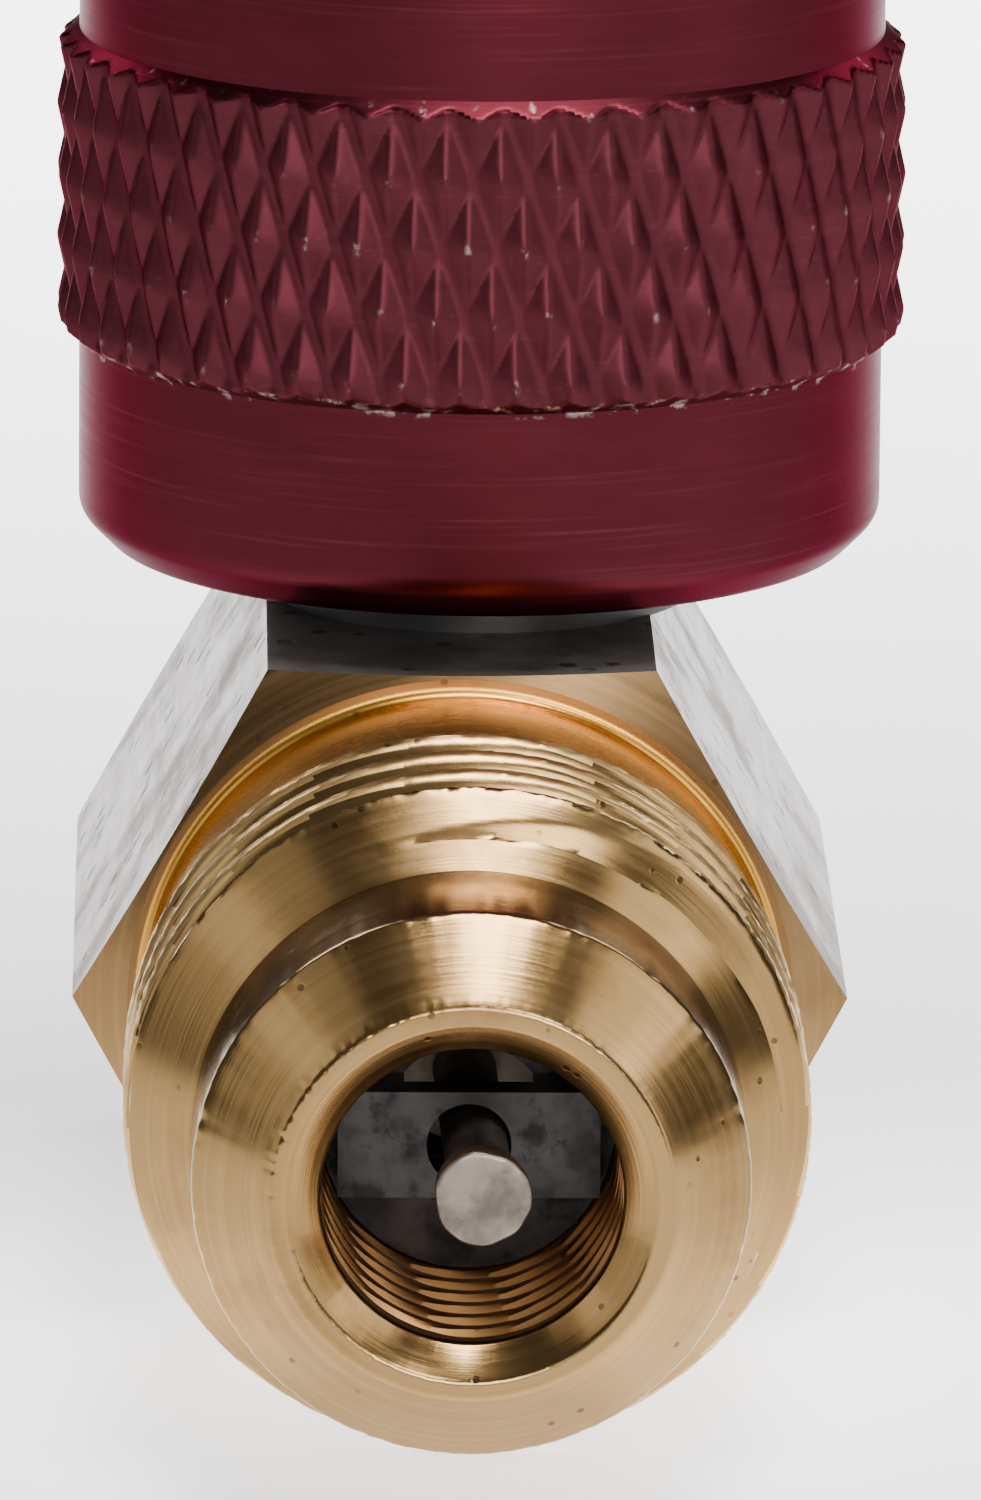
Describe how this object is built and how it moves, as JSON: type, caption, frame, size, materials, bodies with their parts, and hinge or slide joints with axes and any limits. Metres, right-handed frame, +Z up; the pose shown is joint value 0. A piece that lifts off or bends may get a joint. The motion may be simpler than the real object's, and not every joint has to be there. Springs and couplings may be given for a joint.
{
  "type": "right-angle service coupler",
  "caption": "Right-angle low-loss gas service coupler: brass hexagon elbow with male flare outlet and valve core, and a knurled red hand sleeve that swivels.",
  "frame": {"origin": "centre of the hexagon's lower flat, below the sleeve's axis", "axes": "+Z up along the sleeve's axis towards its mouth, -Y out of the flare outlet, +X to the right seen from the flare"},
  "size_m": [0.0142, 0.0268, 0.03],
  "materials": {
    "brass": "turned, polished, lightly stained",
    "inner_brass": "turned",
    "anodised_red": "dark red anodised, fine turning marks",
    "core_steel": "dark, lightly worn",
    "pin_steel": "worn bright",
    "spring_steel": "drawn wire",
    "seal_rubber": "matt",
    "black_plastic": "moulded, matt",
    "white_seal": "PTFE, matt"
  },
  "bodies": {
    "body": {"elbow_body": "brass", "coupler_stem": "inner_brass", "stem_seal": "seal_rubber", "sleeve_oring": "seal_rubber", "sleeve_spacer": "black_plastic", "thrust_washer": "white_seal", "seat_gasket": "seal_rubber", "valve_seat_bush": "inner_brass", "poppet_spring": "spring_steel", "core_plug": "core_steel", "core_barrel": "inner_brass", "core_barrel_seal": "white_seal", "core_spring": "spring_steel"},
    "sleeve": {"knurled_sleeve": "anodised_red", "threaded_insert": "inner_brass"},
    "low_loss_valve": {"poppet": "inner_brass", "poppet_seal": "seal_rubber", "depressor_pin": "pin_steel"},
    "core_valve": {"core_pin": "pin_steel", "core_cup_washer": "seal_rubber", "core_cup": "inner_brass"}
  },
  "joints": [
    {"name": "sleeve_spin", "type": "hinge", "parent": "body", "child": "sleeve", "pos_m": [0, 0, 0.0149], "axis": [0, 0, 1], "continuous": true},
    {"name": "poppet_slide", "type": "slide", "parent": "body", "child": "low_loss_valve", "axis": [0, 0, -1], "range_m": [0, 0.0018], "stiffness_N_per_m": 500, "springref_m": -0.004, "deforming": ["poppet_spring"]},
    {"name": "core_pin_slide", "type": "slide", "parent": "body", "child": "core_valve", "axis": [0, 1, 0], "range_m": [0, 0.0015], "stiffness_N_per_m": 250, "springref_m": -0.004, "deforming": ["core_spring"]}
  ]
}
